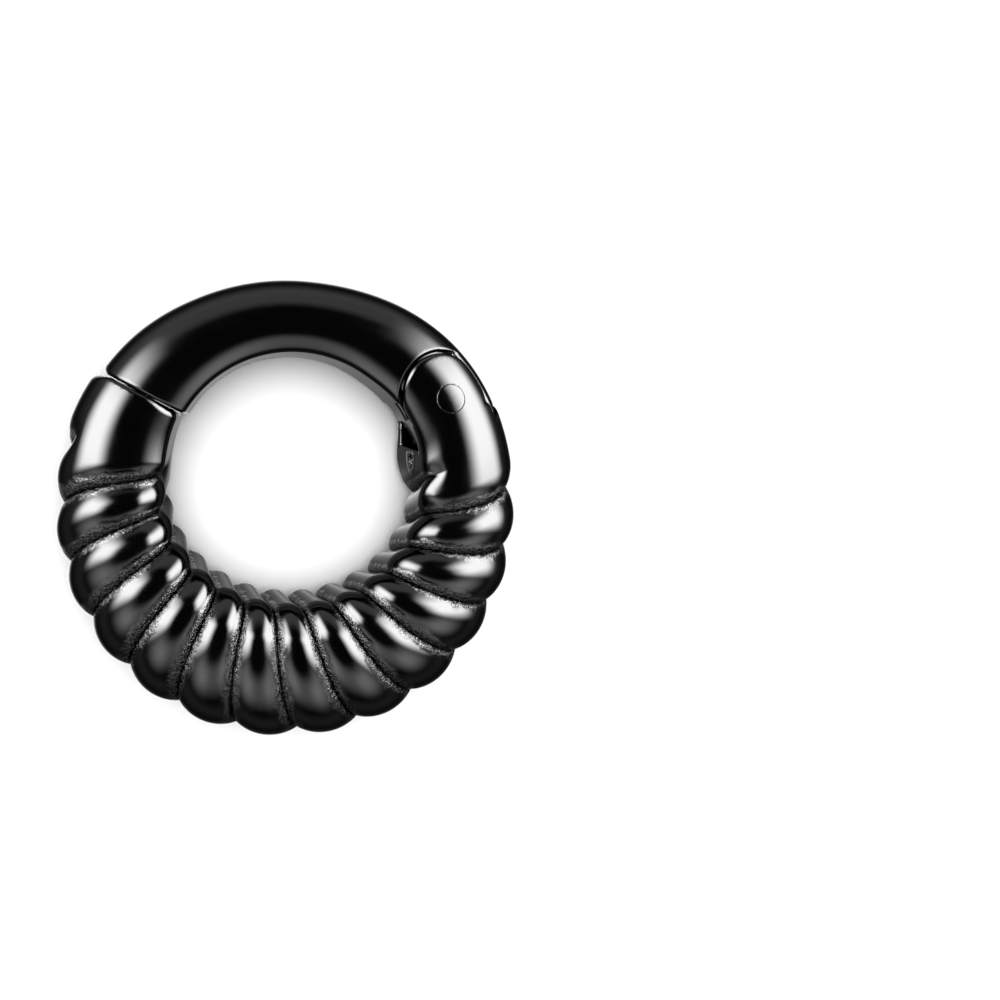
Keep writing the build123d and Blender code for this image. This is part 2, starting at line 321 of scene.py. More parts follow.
def stitch(columns, rows, turn):
    """Triangles of a grid of columns and rows that closes round its rows, a column turn back."""
    column, row = np.meshgrid(np.arange(columns - 1), np.arange(rows), indexing="ij")
    wraps = row == rows - 1
    real = ~(wraps & (column < turn))
    column, row, wraps = column[real], row[real], wraps[real]

    def index(columns_on, rows_on):
        passed = wraps & (rows_on == 1)
        return np.where(passed, (column + columns_on - turn) * rows,
                        (column + columns_on) * rows + row + rows_on)

    here, ahead, here_up, ahead_up = index(0, 0), index(1, 0), index(0, 1), index(1, 1)
    first = np.stack([here, ahead, here_up], -1)
    second = np.stack([ahead, ahead_up, here_up], -1)
    triangles = np.concatenate([first, second])
    start_loop = list(range(rows)) + [c * rows + rows - 1 for c in range(1, turn + 1)]
    last = columns - 1
    end_loop = [last * rows + row for row in range(rows)]
    end_loop += [(last - turn + c) * rows for c in range(turn)]
    return triangles, start_loop, end_loop


def capped(points, triangles, loops, tips):
    """Closes both ends of a bar with a fan of triangles round a tip."""
    for loop, tip, way in zip(loops, tips, (1, -1)):
        loop = np.array(loop)[::way]
        fan = np.stack([np.full(len(loop), len(points)), loop, np.roll(loop, -1)], -1)
        points = np.vstack([points, tip])
        triangles = np.vstack([triangles, fan])
    return points, triangles


def ridged_bar():
    """The body's bar, whose mesh lines follow the grooves, how rough each point is, and how much
    painted shade its colour takes in the groove bottoms and the dimple.
    """
    step = RIDGE_PITCH / COLUMNS_PER_RIDGE
    turn = 2 * COLUMNS_PER_RIDGE
    first = floor((BODY_START - FIRST_GROOVE_ANGLE) / step)
    last = floor((BODY_END - FIRST_GROOVE_ANGLE) / step) + turn + 1
    rows = section_rows()
    column = np.arange(first, last + 1)[:, None]
    section_angle = np.broadcast_to(rows[None, :], (len(column), len(rows)))
    ring_angle = FIRST_GROOVE_ANGLE + column * step - RIDGE_PITCH * section_angle / 180
    middle, half_thickness, half_width = body_at(ring_angle)
    out, front = section_point(section_angle, half_thickness, half_width, edge_turn(ring_angle))
    fall, groove = groove_fall(ring_angle, section_angle)
    keep = 1 - RIDGE_DEPTH * fall / np.hypot(out, front)
    out = out * keep + lean_at(ring_angle, section_angle)
    points = place(ring_angle, middle + out, front * keep).reshape(-1, 3)
    away = np.linalg.norm(points - np.array(DIMPLE), axis=1) / DIMPLE_RADIUS
    outwards_here = points * (1, 1, 0) / np.linalg.norm(points[:, :2], axis=1)[:, None]
    dimple = np.exp(-(away**4))
    points = points + outwards_here * (DIMPLE_DEPTH * dimple)[:, None]
    moved = ROUGH_SHIFT * np.cos(np.radians(ring_angle)) * RIDGE_PITCH
    rough, _ = groove_fall(ring_angle - moved, section_angle)
    rough = np.where(groove == 1, rough**FIRST_GROOVE_SPREAD, rough).ravel()
    rough = np.maximum(rough, np.clip((DIMPLE_ROUGH_END - away) / DIMPLE_ROUGH_FADE, 0, 1))
    # Painted shade: groove bottoms and the dimple's inside are marked here for a darker colour
    painted_crease_shade = np.maximum(fall.ravel(), np.minimum(DIMPLE_SHADE_DARKNESS * dimple, 1))
    triangles, *loops = stitch(len(column), len(rows), turn)
    tips = []
    for end in (first, last):
        angle = FIRST_GROOVE_ANGLE + end * step - RIDGE_PITCH
        tips.append(place(angle, body_at(angle)[0], 0.0))
    points, triangles = capped(points, triangles, loops, tips)
    traits = {"rough": rough, "painted_crease_shade": painted_crease_shade}
    traits = {name: np.concatenate([values, [0, 0]]) for name, values in traits.items()}
    return points, triangles, traits


def smooth_bar():
    """The gate's bar, longer than the gate at both ends."""
    rows = section_rows()
    past_end = GATE_END + GATE_COLUMN_STEP / 2
    ring_angle = np.arange(GATE_START, past_end, GATE_COLUMN_STEP)[:, None]
    section_angle = np.broadcast_to(rows[None, :], (len(ring_angle), len(rows)))
    ring_angle = np.broadcast_to(ring_angle, section_angle.shape)
    middle, half_thickness, half_width = gate_at(ring_angle)
    out, front = section_point(section_angle, half_thickness, half_width, GATE_EDGE_TURN)
    points = place(ring_angle, middle + out, front).reshape(-1, 3)
    triangles, *loops = stitch(len(section_angle), len(rows), 0)
    tips = [place(angle, gate_at(angle)[0], 0.0) for angle in (GATE_START, GATE_END)]
    return capped(points, triangles, loops, tips)


def slope_of(field_of, points):
    """How fast a field rises along each axis, at each point."""
    step = 1e-4
    sides = [field_of(points + step * axis) - field_of(points - step * axis) for axis in np.eye(3)]
    return np.stack(sides, -1) / (2 * step)


def insert_line(points, triangles, field_of, level):
    """Splits the triangles that cross one level of a field, so that mesh edges follow the level.

    A point close to the level is moved onto it along the skin, so that no thin triangle is made.
    """
    field = field_of(points) - level
    slope = slope_of(field_of, points)
    normals = outward_normals(points, triangles)
    slope = slope - normals * (slope * normals).sum(1, keepdims=True)
    steep = (slope**2).sum(1)
    move = -field / np.maximum(steep, 1e-9)
    snapped = (np.abs(move) * np.sqrt(steep) < SNAP) & (steep > 1)
    points = points + slope * np.where(snapped, move, 0)[:, None]
    side = np.where(snapped, 0, np.sign(field))[triangles]
    top, bottom = side.max(1), side.min(1)
    crossed = (top > 0) & (bottom < 0)
    through = crossed & (side == 0).any(1)
    whole = crossed & ~through

    cut, sides = triangles[whole], side[whole]
    lone = np.where((sides > 0).sum(1) == 1, (sides > 0).argmax(1), (sides < 0).argmax(1))
    cut = np.take_along_axis(cut, (lone[:, None] + np.arange(3)) % 3, 1)
    half, sides = triangles[through], side[through]
    lone = (sides == 0).argmax(1)
    half = np.take_along_axis(half, (lone[:, None] + np.arange(3)) % 3, 1)

    edges = np.sort(np.concatenate([cut[:, [0, 1]], cut[:, [0, 2]], half[:, [1, 2]]]), 1)
    edges, index = np.unique(edges, axis=0, return_inverse=True)
    index = index.reshape(-1) + len(points)
    start, end = edges.T
    share = (-field[start] / (field[end] - field[start]))[:, None]
    points = np.vstack([points, points[start] * (1 - share) + points[end] * share])
    left, right, middle = np.split(index, [len(cut), 2 * len(cut)])
    triangles = np.vstack([
        triangles[~crossed],
        np.stack([cut[:, 0], left, right], -1),
        np.stack([left, cut[:, 1], cut[:, 2]], -1),
        np.stack([left, cut[:, 2], right], -1),
        np.stack([half[:, 0], half[:, 1], middle], -1),
        np.stack([half[:, 0], middle, half[:, 2]], -1),
    ])
    return points, triangles


def outward_normals(points, triangles):
    a, b, c = (points[triangles[:, k]] for k in range(3))
    face = np.cross(b - a, c - a)
    normals = np.zeros_like(points)
    for k in range(3):
        np.add.at(normals, triangles[:, k], face)
    return normals / (np.linalg.norm(normals, axis=1, keepdims=True) + 1e-12)


def rounded_edge(points, triangles, field_of, radius_of, weight_of=None):
    """Sinks the skin near a coming cut, so that the cut leaves a round edge.

    The field is the distance from the cut over the edge's radius, and the skin sinks along a
    quarter circle from the edge's full radius at the cut to nothing one radius away.
    """
    for level in ROUND_LINES:
        points, triangles = insert_line(points, triangles, field_of, level)
    near = np.clip(1 - field_of(points), 0, 1)
    depth = radius_of(points) * (1 - np.sqrt(1 - near**2))
    if weight_of:
        depth = depth * weight_of(points)
    return points - outward_normals(points, triangles) * depth[:, None], triangles


def outwards(points, triangles):
    """The same triangles, all turned so that their normals point out of the solid."""
    a, b, c = (points[triangles[:, k]] for k in range(3))
    volume = np.einsum("ij,ij->i", a, np.cross(b, c)).sum()
    return triangles if volume > 0 else triangles[:, ::-1]


def mesh_object(name, points, faces):
    mesh = bpy.data.meshes.new(name)
    mesh.from_pydata([tuple(p) for p in points], [], [tuple(int(k) for k in f) for f in faces])
    mesh.update()
    made = bpy.data.objects.new(name, mesh)
    bpy.context.scene.collection.objects.link(made)
    return made


def prism(outline, low, high):
    """Cutter with a flat outline, from one height along the ring's axis to another."""
    area = sum(a[0] * b[1] - b[0] * a[1] for a, b in zip(outline, outline[1:] + outline[:1]))
    if area < 0:
        outline = outline[::-1]
    count = len(outline)
    points = [(p[0], p[1], low) for p in outline] + [(p[0], p[1], high) for p in outline]
    faces = [tuple(reversed(range(count))), tuple(range(count, 2 * count))]
    for k in range(count):
        ahead = (k + 1) % count
        faces.append((k, ahead, count + ahead, count + k))
    return mesh_object("cutter", points, faces)


def boolean(target, cutter, operation):
    """Cuts the target with the cutter, keeps the result as its mesh and removes the cutter."""
    cut = target.modifiers.new("cut", "BOOLEAN")
    cut.operation = operation
    cut.solver = "MANIFOLD"
    cut.object = cutter
    evaluated = target.evaluated_get(bpy.context.evaluated_depsgraph_get())
    result = bpy.data.meshes.new_from_object(evaluated)
    target.modifiers.clear()
    used = target.data
    target.data = result
    result.name = target.name
    bpy.data.meshes.remove(used)
    bpy.data.meshes.remove(cutter.data)


def arc(centre, radius, start, end, count):
    """Points of an arc, from one angle in degrees to another."""
    turns = [radians(start + (end - start) * k / count) for k in range(count + 1)]
    return [(centre.x + radius * cos(turn), centre.y + radius * sin(turn)) for turn in turns]


def hinge_arc(inside, outside, start, end, count):
    """Arc about the pin, whose radius changes from the hole's side to the rim's side."""
    spots = np.array(arc(HINGE, 1.0, start, end, count))
    reach = hinge_radius(spots, inside, outside)[:, None]
    centre = np.array(HINGE.xy)
    return [tuple(spot) for spot in centre + (spots - centre) * reach]


def angle_of(point, centre):
    return degrees(atan2(point[1] - centre[1], point[0] - centre[0]))


def parting_line(radius, lift):
    """From the ring's centre to the cheeks, round them and out at the notch beside the pin."""
    pin = HINGE + Vector((0, lift, 0))
    way = pin.normalized()
    ahead = CHEEK.dot(way)
    beside = CHEEK.cross(way).length
    inner = way * (ahead - sqrt(radius**2 - beside**2))
    level = pin.y - CHEEK.y
    outer = (CHEEK.x + sqrt(radius**2 - level**2), pin.y)
    start, end = angle_of(inner, CHEEK) % 360, angle_of(outer, CHEEK)
    return [(0.0, 0.0)] + arc(CHEEK, radius, start, end, CHEEK_ARC_STEPS) + [(FAR, pin.y)]


def split_line(gap):
    split = SPLIT + SPLIT_NORMAL * gap
    outside = split - SPLIT_ALONG * BODY_OUTER / 2
    inside = split + SPLIT_ALONG * BODY_HOLE / 2
    return [(outside.x, outside.y), (inside.x, inside.y)]


def latch_outline(clearance):
    """Outline of the latch tongue, curved about the hinge."""
    along = SPLIT - HINGE
    radius = along.length
    along = along.normalized()
    down = Vector((-along.y, along.x, 0))
    sides = []
    half = LATCH_HALF_THICKNESS + clearance
    for reach in (radius - half, radius + half):
        lows = np.linspace(-LATCH_ROOT, LATCH_REACH + clearance, 9)
        spots = [HINGE + along * sqrt(reach**2 - low**2) + down * low for low in lows]
        sides.append([(spot.x, spot.y) for spot in spots])
    return sides[0] + sides[1][::-1]


def split_distance(points):
    return (points[:, 0] - SPLIT.x) * SPLIT_NORMAL.x + (points[:, 1] - SPLIT.y) * SPLIT_NORMAL.y


def parting_distance(points):
    """Distance to the gate's side of the lines through the pin, inside it and out at the notch."""
    way = HINGE.normalized()
    inside = points[:, 1] * way.x - points[:, 0] * way.y
    return np.where(points[:, 0] < HINGE.x, inside, points[:, 1] - HINGE.y)


def distance_from(points, centre):
    return np.hypot(points[:, 0] - centre.x, points[:, 1] - centre.y)


def body_edge_radius(points):
    """Radius of the body's edges: wide on the cheeks and at both ends of the butt joint."""
    radius = np.hypot(points[:, 0], points[:, 1])
    at_rim = BUTT_RIM_GROWTH * smooth_step(*BUTT_RIM, radius)
    at_hole = BUTT_HOLE_GROWTH * smooth_step(*BUTT_HOLE, radius)
    butt = BUTT_EDGE + at_rim + at_hole
    return np.where(points[:, 0] < 0, butt, CHEEK_EDGE)


def body_edge_field(points):
    gate_side = np.minimum(split_distance(points), parting_distance(points))
    inside = np.maximum(-gate_side, CHEEK_RADIUS - distance_from(points, CHEEK))
    return inside / body_edge_radius(points)


def gate_edge_radius(points):
    """Radius of the gate's edges: wider at the rim of its straight end."""
    radius = np.hypot(points[:, 0], points[:, 1])
    end = GATE_END_EDGE + GATE_END_RIM_GROWTH * smooth_step(*GATE_END_RIM, radius)
    return np.where(points[:, 0] < 0, end, GATE_ARC_EDGE)


def gate_edge_field(points):
    cheek = distance_from(points, CHEEK) - CHEEK_RADIUS
    inside = np.minimum(parting_distance(points), cheek) - PARTING_GAP
    inside = np.minimum(inside, split_distance(points) - SPLIT_GAP)
    return inside / gate_edge_radius(points)


def gate_edge_weight(points):
    """The gate's edge along the cheeks is left alone in the middle, where the tongue goes on."""
    past_tongue = np.abs(points[:, 2]) - TONGUE_HALF_WIDTH
    beside_tongue = smooth_step(*TONGUE_EDGE_FADE, past_tongue)
    return np.where(points[:, 0] < 0, 1.0, beside_tongue)


def hinge_radius(points, inside, outside):
    """Radius about the pin, which changes from the hole's side to the rim's side."""
    turned = (points[:, 0] - HINGE.x) / np.maximum(distance_from(points, HINGE), 0.01)
    return inside + (outside - inside) * smooth_step(-0.5, 0.5, turned)


def slot_edge_field(points):
    """Distance into the body from the slot that the tongue turns in."""
    reach = hinge_radius(points, POCKET_RADIUS_INSIDE, POCKET_RADIUS_OUTSIDE)
    beyond = distance_from(points, HINGE) - reach
    beside = np.abs(points[:, 2]) - POCKET_HALF_WIDTH
    return np.maximum(beyond, beside) / SLOT_EDGE


def tongue_edge_field(points):
    return (TONGUE_HALF_WIDTH - np.abs(points[:, 2])) / TONGUE_EDGE


def tongue_edge_weight(points):
    """Only the tongue has edges beside it: none above the cheeks, where the gate's bar is whole."""
    inside = CHEEK_RADIUS + PARTING_GAP - distance_from(points, CHEEK)
    below = PARTING_GAP - parting_distance(points)
    return smooth_step(0, 0.1, np.maximum(inside, below)) * (points[:, 0] > 0)


def pin_edge_field(points):
    return (distance_from(points, HINGE) - PIN_RADIUS) / PIN_EDGE


def finish_piece(piece, material, body, node):
    """Lays a finished mesh into the frame, shades it, gives it its body and material, and hides the
    solid it stands in for.
    """
    piece.data.transform(TO_PART)
    piece.data.shade_smooth()
    piece.data.set_sharp_from_angle(angle=radians(SHARP_ANGLE))
    piece.data.materials.clear()
    piece.data.materials.append(material)
    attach(piece, body)
    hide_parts(node)


def carry_traits(piece, points=(), traits=None):
    """Gives each vertex the traits of the formula's point that it came from, or none."""
    tree = KDTree(len(points))
    for index, point in enumerate(points):
        tree.insert(point, index)
    tree.balance()
    found = [tree.find(vertex.co) for vertex in piece.data.vertices]
    near = [hit[1] is not None and hit[2] <= TRAIT_DISTANCE for hit in found]
    index = np.array([hit[1] if kept else -1 for hit, kept in zip(found, near)])
    for name in ("rough", "painted_crease_shade"):
        values = np.append((traits or {name: []})[name], 0.0)[index].astype(np.float32)
        piece.data.attributes.new(name, "FLOAT", "POINT").data.foreach_set("value", values)


def make_body(material):
    """Ridged arc: cut for the gate, the tongue's pocket, the pin and the latch."""
    points, triangles, traits = ridged_bar()
    grooved = points.copy()
    triangles = outwards(points, triangles)
    points, triangles = rounded_edge(points, triangles, body_edge_field, body_edge_radius)
    for field_of, radius in ((pin_edge_field, PIN_EDGE), (slot_edge_field, SLOT_EDGE)):
        points, triangles = rounded_edge(points, triangles, field_of, lambda spots: radius)
    piece = mesh_object("weight_body_skin", points, triangles)
    gate_side = split_line(0) + parting_line(CHEEK_RADIUS, 0) + [(FAR, FAR), (-FAR, FAR)]
    boolean(piece, prism(gate_side, -FAR, FAR), "DIFFERENCE")
    pocket = hinge_arc(POCKET_RADIUS_INSIDE, POCKET_RADIUS_OUTSIDE, 0, 357, POCKET_ARC_STEPS)
    boolean(piece, prism(pocket, -POCKET_HALF_WIDTH, POCKET_HALF_WIDTH), "DIFFERENCE")
    bore = arc(HINGE, PIN_RADIUS, 0, 355, BORE_ARC_STEPS)
    boolean(piece, prism(bore, -FAR, FAR), "DIFFERENCE")
    latch_half = LATCH_HALF_WIDTH + LATCH_CLEARANCE
    boolean(piece, prism(latch_outline(LATCH_CLEARANCE), -latch_half, latch_half), "DIFFERENCE")
    carry_traits(piece, grooved, traits)
    finish_piece(piece, material, "arc", "weight_body")
    return piece


def make_gate(material):
    """Smooth arch with a straight end at the left and a tongue between the cheeks at the right."""
    points, triangles = smooth_bar()
    triangles = outwards(points, triangles)
    points, triangles = rounded_edge(
        points, triangles, gate_edge_field, gate_edge_radius, gate_edge_weight
    )
    points, triangles = rounded_edge(
        points, triangles, tongue_edge_field, lambda spots: TONGUE_EDGE, tongue_edge_weight
    )
    piece = mesh_object("gate_skin", points, triangles)
    pin = HINGE + Vector((0, PARTING_GAP, 0))
    start = degrees(asin(PARTING_GAP / TONGUE_RADIUS_OUTSIDE))
    end = degrees(atan2(HINGE.y, HINGE.x)) - 180 - degrees(asin(PARTING_GAP / TONGUE_RADIUS_INSIDE))
    tongue = hinge_arc(TONGUE_RADIUS_INSIDE, TONGUE_RADIUS_OUTSIDE, end, start, CHEEK_ARC_STEPS)
    tongue = [(0.0, 0.0)] + tongue + [(FAR, pin.y)]
    room = split_line(SPLIT_GAP) + tongue + [(FAR, FAR), (-FAR, FAR)]
    boolean(piece, prism(room, -FAR, FAR), "INTERSECT")
    cheeks = parting_line(CHEEK_RADIUS + PARTING_GAP, PARTING_GAP - PARTING_OVERLAP)
    cheeks += [(FAR, -FAR), (0.0, -FAR)]
    boolean(piece, prism(cheeks, TONGUE_HALF_WIDTH, FAR), "DIFFERENCE")
    boolean(piece, prism(cheeks, -FAR, -TONGUE_HALF_WIDTH), "DIFFERENCE")
    hole = Vector((HOLE_SHIFT, HOLE_OFFSET / 2, 0))
    reach = GATE_HOLE + TONGUE_STEP
    step = arc(hole, reach, TONGUE_STEP_FROM, TONGUE_STEP_TO, STEP_ARC_STEPS)
    boolean(piece, prism([tuple(hole.xy)] + step, -FAR, FAR), "DIFFERENCE")
    bore = arc(HINGE, PIN_RADIUS + BORE_CLEARANCE, 0, 355, BORE_ARC_STEPS)
    boolean(piece, prism(bore, -FAR, FAR), "DIFFERENCE")
    boolean(piece, prism(latch_outline(0), -LATCH_HALF_WIDTH, LATCH_HALF_WIDTH), "DIFFERENCE")
    carry_traits(piece)
    finish_piece(piece, material, "gate", "gate")
    return piece


def front_height(x, y):
    """Height of the body's smooth front over a point of the ring's plane."""
    middle, half_thickness, half_width = body_at(degrees(atan2(y, x)))
    reach = 2 * half_thickness / (1 + WALL_EDGE_COSINE)
    across = (hypot(x, y) - middle - half_thickness + reach) / reach
    return float(half_width * sqrt(1 - across**2))


def make_pin(material):
    """Pin whose ends follow the cheeks, with a fine rounded rim."""
    rims = list(PIN_RINGS) + [PIN_RADIUS - PIN_EDGE * line for line in ROUND_LINES[:0:-1]]
    rims.append(PIN_RADIUS)
    count = PIN_POINTS
    points = []
    for side in (1, -1):
        for rim in rims:
            near = max(0, 1 - (PIN_RADIUS - rim) / PIN_EDGE)
            sunk = PIN_EDGE * (1 - sqrt(1 - near**2))
            for x, y in arc(HINGE, rim, 0, 360 - 360 / count, count - 1):
                points.append((x, y, side * (front_height(x, y) - sunk)))
    layers = len(rims)
    points += [(HINGE.x, HINGE.y, side * front_height(HINGE.x, HINGE.y)) for side in (1, -1)]
    faces = []
    for side in range(2):
        base = side * layers * count
        tip = 2 * layers * count + side
        for k in range(count):
            ahead = (k + 1) % count
            faces.append((tip, base + k, base + ahead)[:: 1 - 2 * side])
            for layer in range(layers - 1):
                a, b = base + layer * count, base + (layer + 1) * count
                faces.append((a + k, b + k, b + ahead, a + ahead)[:: 1 - 2 * side])
    top, bottom = (layers - 1) * count, (2 * layers - 1) * count
    for k in range(count):
        ahead = (k + 1) % count
        faces.append((top + k, bottom + k, bottom + ahead, top + ahead))
    piece = mesh_object("hinge_pin_skin", points, faces)
    carry_traits(piece)
    finish_piece(piece, material, "arc", "hinge_pin")
    return piece


class Nodes:
    """Short way to write a material: add makes a node, sets its inputs and links what is linked."""

    def __init__(self, owner):
        owner.use_nodes = True
        self.tree = owner.node_tree
        self.tree.nodes.clear()

    def add(self, kind, settings=None, **inputs):
        node = self.tree.nodes.new("ShaderNode" + kind)
        for name, value in (settings or {}).items():
            setattr(node, name, value)
        for name, value in inputs.items():
            key = int(name[1:]) if name[0] == "_" else name.replace("_", " ")
            if isinstance(value, bpy.types.NodeSocket):
                self.tree.links.new(value, node.inputs[key])
            else:
                node.inputs[key].default_value = value
        return node

    def math(self, operation, first, second=0.0):
        return self.add("Math", {"operation": operation}, _0=first, _1=second).outputs[0]

    def span(self, value, low, high, to_low, to_high):
        node = self.add(
            "MapRange", {"interpolation_type": "SMOOTHSTEP"}, Value=value,
            From_Min=low, From_Max=high, To_Min=to_low, To_Max=to_high,
        )
        return node.outputs["Result"]

    def noise(self, where, scale, detail, roughness=0.5):
        node = self.add("TexNoise", Vector=where, Scale=scale, Detail=detail, Roughness=roughness)
        return node.outputs["Fac"]

    def mix(self, share, first, second):
        node = self.add("Mix", {"data_type": "RGBA"})
        self.tree.links.new(share, node.inputs[0])
        node.inputs[6].default_value = first
        node.inputs[7].default_value = second
        return node.outputs[2]

    def centred(self, value, height):
        """A noise between 0 and 1 as a ripple round 0."""
        return self.math("MULTIPLY", self.math("SUBTRACT", value, 0.5), height)

    def metal(self, colour, roughness, normal, glancing=(1, 1, 1, 1)):
        """Ends a material with a metal, glancing being its colour seen edgewise."""
        skin = self.add(
            "BsdfPrincipled", Metallic=1.0, Base_Color=colour, Roughness=roughness, Normal=normal,
            Specular_Tint=glancing,
        )
        self.add("OutputMaterial", Surface=skin.outputs[0])


def grey(level, warmth=0.0):
    return (level * (1 + warmth), level, level * (1 - warmth), 1)


# Black steel: tones, roughness and relief on the polish and in the grainy band of each groove, and
# painted shade darkening each groove's bottom and the dimple. Each edge is where a band starts and
# is full
POLISHED_TONE = grey(0.055)
GRAINY_TONE = grey(0.07, 0.01)
GLANCING_TONE = grey(0.35)
POLISHED_ROUGHNESS = (0.1, 0.15)
GRAINY_ROUGHNESS = 0.13
BAND_EDGE = (0.3, 0.72)
BAND_UNEVENNESS = 0.5
# Painted shade in the groove bottoms and the dimple: where it starts and is full, how uneven it is
# and how much it darkens
CREASE_SHADE_EDGE = (0.8, 0.96)
CREASE_SHADE_UNEVENNESS = 0.5
CREASE_SHADE_DARKNESS = 0.9
SPECKLE_EDGE = (0.4, 0.6)
SPECKLE_TONES = (0.1, 1.7)
GRAIN_SHARE = 0.6
PITS_SHARE = 0.7
GRAIN_DEPTH = 0.00012
BRUSHED_DEPTH = 0.00002


def black_steel():
    """Black-coated polished steel: glossy on the ridges, grainy as cast in the grooves, with painted
    shade darkening the groove bottoms and the dimple.
    """
    material = bpy.data.materials.new("black_steel")
    nodes = Nodes(material)
    where = nodes.add("TexCoord").outputs["Object"]
    rough = nodes.add("Attribute", {"attribute_name": "rough"}).outputs["Fac"]
    depth = nodes.add("Attribute", {"attribute_name": "painted_crease_shade"}).outputs["Fac"]
    waver = nodes.noise(where, scale=900, detail=2)
    grain = nodes.noise(where, scale=9000, detail=3, roughness=0.6)
    pits = nodes.noise(where, scale=4200, detail=2, roughness=0.6)
    polish = nodes.noise(where, scale=420, detail=3)
    beads = nodes.noise(where, scale=3600, detail=1)
    uneven = nodes.centred(waver, BAND_UNEVENNESS)
    rough_band = nodes.span(nodes.math("ADD", rough, uneven), *BAND_EDGE, 0.0, 1.0)
    # Painted shade: a dark line along each groove's bottom and in the dimple, made uneven by the
    # beads noise
    beaded_crease_shade = nodes.math("ADD", depth, nodes.centred(beads, CREASE_SHADE_UNEVENNESS))
    painted_crease_shade = nodes.span(beaded_crease_shade, *CREASE_SHADE_EDGE, 0.0, 1.0)
    base = nodes.mix(rough_band, POLISHED_TONE, GRAINY_TONE)
    speckle = nodes.span(grain, *SPECKLE_EDGE, *SPECKLE_TONES)
    in_band = nodes.math("MULTIPLY", nodes.math("SUBTRACT", speckle, 1.0), rough_band)
    # The painted shade darkens the steel's colour there
    crease_shading = nodes.math("MULTIPLY", painted_crease_shade, CREASE_SHADE_DARKNESS)
    toned = nodes.math("ADD", in_band, 1.0)
    toned = nodes.math("MULTIPLY", toned, nodes.math("SUBTRACT", 1.0, crease_shading))
    speckled = nodes.add("VectorMath", {"operation": "SCALE"}, _0=base, Scale=toned)
    shine = nodes.span(polish, 0.3, 0.7, *POLISHED_ROUGHNESS)
    roughness = nodes.math("ADD", shine, nodes.math("MULTIPLY", rough_band, GRAINY_ROUGHNESS))
    fine = nodes.math("MULTIPLY", grain, GRAIN_SHARE)
    coarse = nodes.math("MULTIPLY", pits, PITS_SHARE)
    height = nodes.math("MULTIPLY", nodes.math("ADD", fine, coarse), rough_band)
    bump = nodes.add("Bump", Strength=1.0, Distance=GRAIN_DEPTH, Height=height)
    nodes.metal(speckled.outputs[0], roughness, bump.outputs["Normal"], GLANCING_TONE)
    return material


def plain_steel():
    """Uncoated steel of the latch, brushed along the ring."""
    material = bpy.data.materials.new("plain_steel")
    nodes = Nodes(material)
    where = nodes.add("TexCoord").outputs["Object"]
    stretched = nodes.add("Mapping", Vector=where, Scale=(9000, 500, 9000)).outputs[0]
    lines = nodes.noise(stretched, scale=1.0, detail=3)
    base = nodes.mix(lines, grey(0.42), grey(0.6))
    roughness = nodes.span(lines, low=0.3, high=0.7, to_low=0.22, to_high=0.38)
    bump = nodes.add("Bump", Strength=0.4, Distance=BRUSHED_DEPTH, Height=lines)
    nodes.metal(base, roughness, bump.outputs["Normal"])
    return material


def paper():
    """Pale matt floor."""
    material = bpy.data.materials.new("paper")
    nodes = Nodes(material)
    where = nodes.add("TexCoord").outputs["Object"]
    tone = nodes.mix(nodes.noise(where, scale=40, detail=3), grey(0.83), grey(0.85))
    skin = nodes.add("BsdfPrincipled", Base_Color=tone, Roughness=0.75, Specular_IOR_Level=0.2)
    nodes.add("OutputMaterial", Surface=skin.outputs[0])
    return material


# What the ring reflects, seen from its middle: bearing of each patch round the ring's axis and
# degrees down from that axis, both fading from full to nothing, and its brightness
Patch = namedtuple(
    "Patch", "bearing full_wide none_wide from_none from_full to_full to_none brightness"
)
PATCHES = (
    Patch(159, 6, 36, 26, 50, 68, 94, 17.0),
    Patch(22, 8, 38, 24, 54, 78, 104, 17.0),
    Patch(90, 40, 80, 44, 68, 90, 128, 0.6),
    Patch(220, 4, 44, 26, 52, 54, 88, 1.9),
    Patch(320, 4, 44, 26, 52, 54, 88, 1.9),
    Patch(270, 10, 60, 22, 42, 50, 80, 1.0),
    Patch(0, 181, 182, 78, 104, 181, 182, 0.2),
    Patch(0, 181, 182, 142, 168, 181, 182, 0.3),
    Patch(138, 52, 110, 128, 160, 181, 182, 2.0),
)
SURROUNDING_GLOW = 0.025
BACKDROP = grey(1.0)
DIM_LIGHT = grey(0.03)

# Floor and the soft light over it
FLOOR_HALF = 1.5
LIGHT_ANGLE = 42
LIGHT_ENERGY = 4.0
LIGHT_LEAN = -10


def add_patch(nodes, ahead, upward, down, patch):
    """Brightness of one patch in the direction that the nodes are given."""
    turn = radians(patch.bearing)
    along = nodes.math("ADD", nodes.math("MULTIPLY", ahead, cos(turn)),
                       nodes.math("MULTIPLY", upward, sin(turn)))
    beside = nodes.math("SUBTRACT", nodes.math("MULTIPLY", upward, cos(turn)),
                        nodes.math("MULTIPLY", ahead, sin(turn)))
    away = nodes.math("ABSOLUTE", nodes.math("ARCTAN2", beside, along))
    sides = (radians(patch.full_wide), radians(patch.none_wide))
    wide = nodes.span(away, *sides, patch.brightness, 0.0)
    start = nodes.span(down, radians(patch.from_none), radians(patch.from_full), 0.0, 1.0)
    end = nodes.span(down, radians(patch.to_full), radians(patch.to_none), 1.0, 0.0)
    return nodes.math("MULTIPLY", wide, nodes.math("MULTIPLY", start, end))


